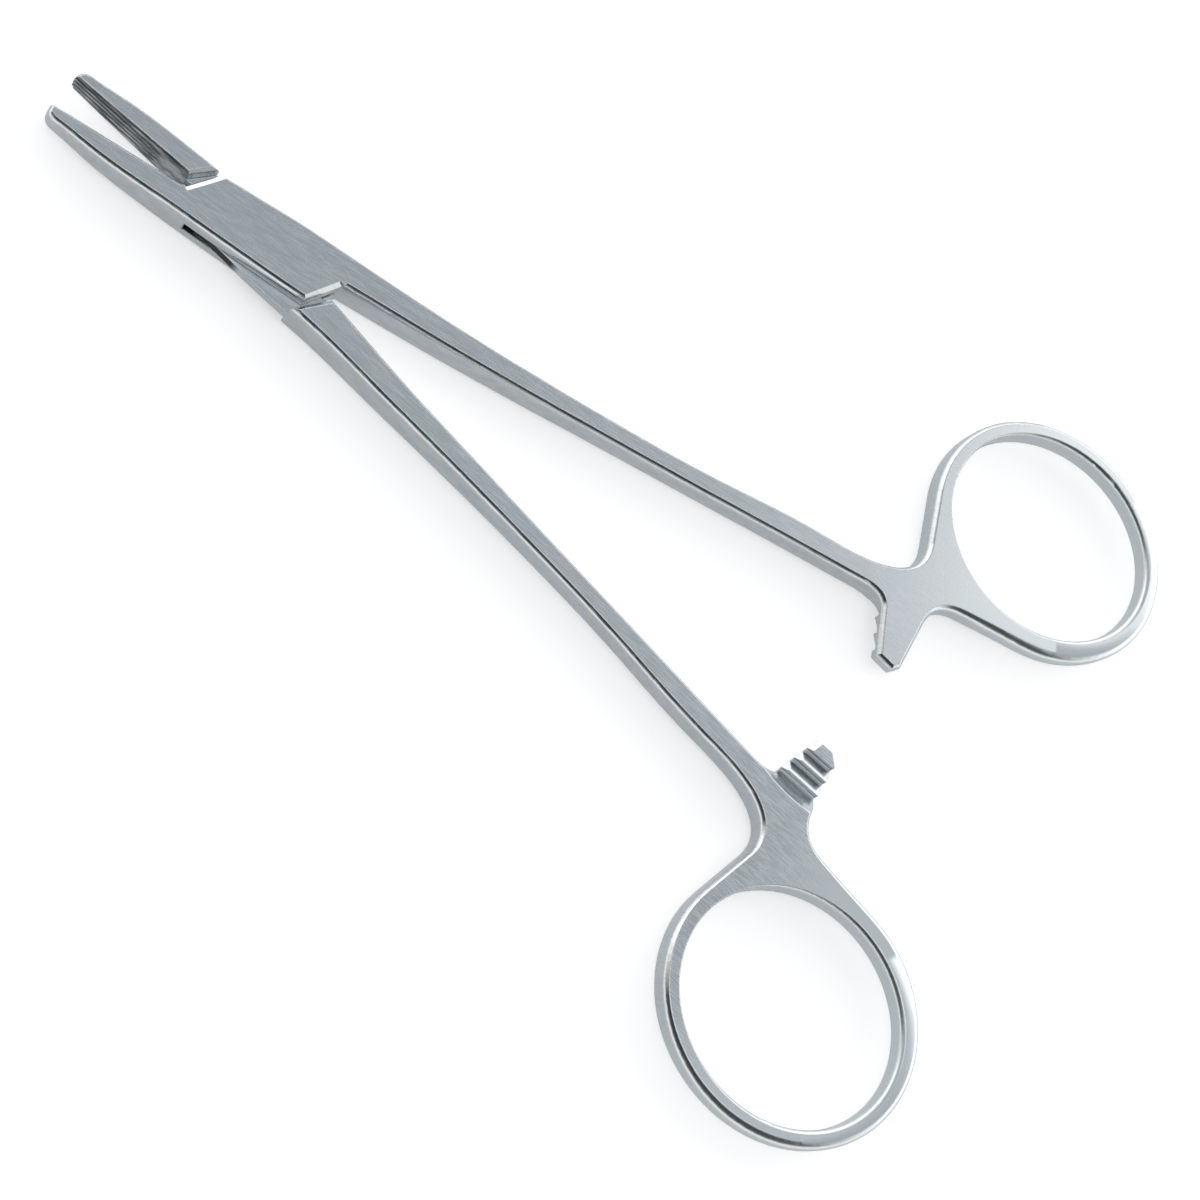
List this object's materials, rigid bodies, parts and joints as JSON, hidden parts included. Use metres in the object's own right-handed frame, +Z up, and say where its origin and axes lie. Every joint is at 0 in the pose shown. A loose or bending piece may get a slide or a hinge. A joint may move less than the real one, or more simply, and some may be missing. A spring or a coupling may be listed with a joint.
{
  "type": "surgical needle holder",
  "caption": "Box-lock needle holder with short grooved jaws, slim shanks, finger rings and a ratchet catch, shown part open.",
  "frame": {"origin": "on the pivot axis, at the underside of the box lock, which is the plane it rests on", "axes": "+X from the pivot towards the finger rings, along the middle of the opening; +Y towards the box half's ring; +Z up from the surface it lies on"},
  "size_m": [0.1275, 0.0903, 0.0044],
  "materials": {
    "satin_stainless": "ground and satin-brushed stainless steel",
    "pin_stainless": "ground flush with the box lock and satin-brushed"
  },
  "bodies": {
    "box_arm": {"box_half": "satin_stainless", "lock_pin": "pin_stainless"},
    "tongue_arm": {"tongue_half": "satin_stainless"}
  },
  "joints": [
    {"name": "lock_pivot", "type": "hinge", "parent": "box_arm", "child": "tongue_arm", "pos_m": [0, 0, 0.0022], "axis": [0, 0, -1], "range_deg": [-9.8, 26]}
  ]
}
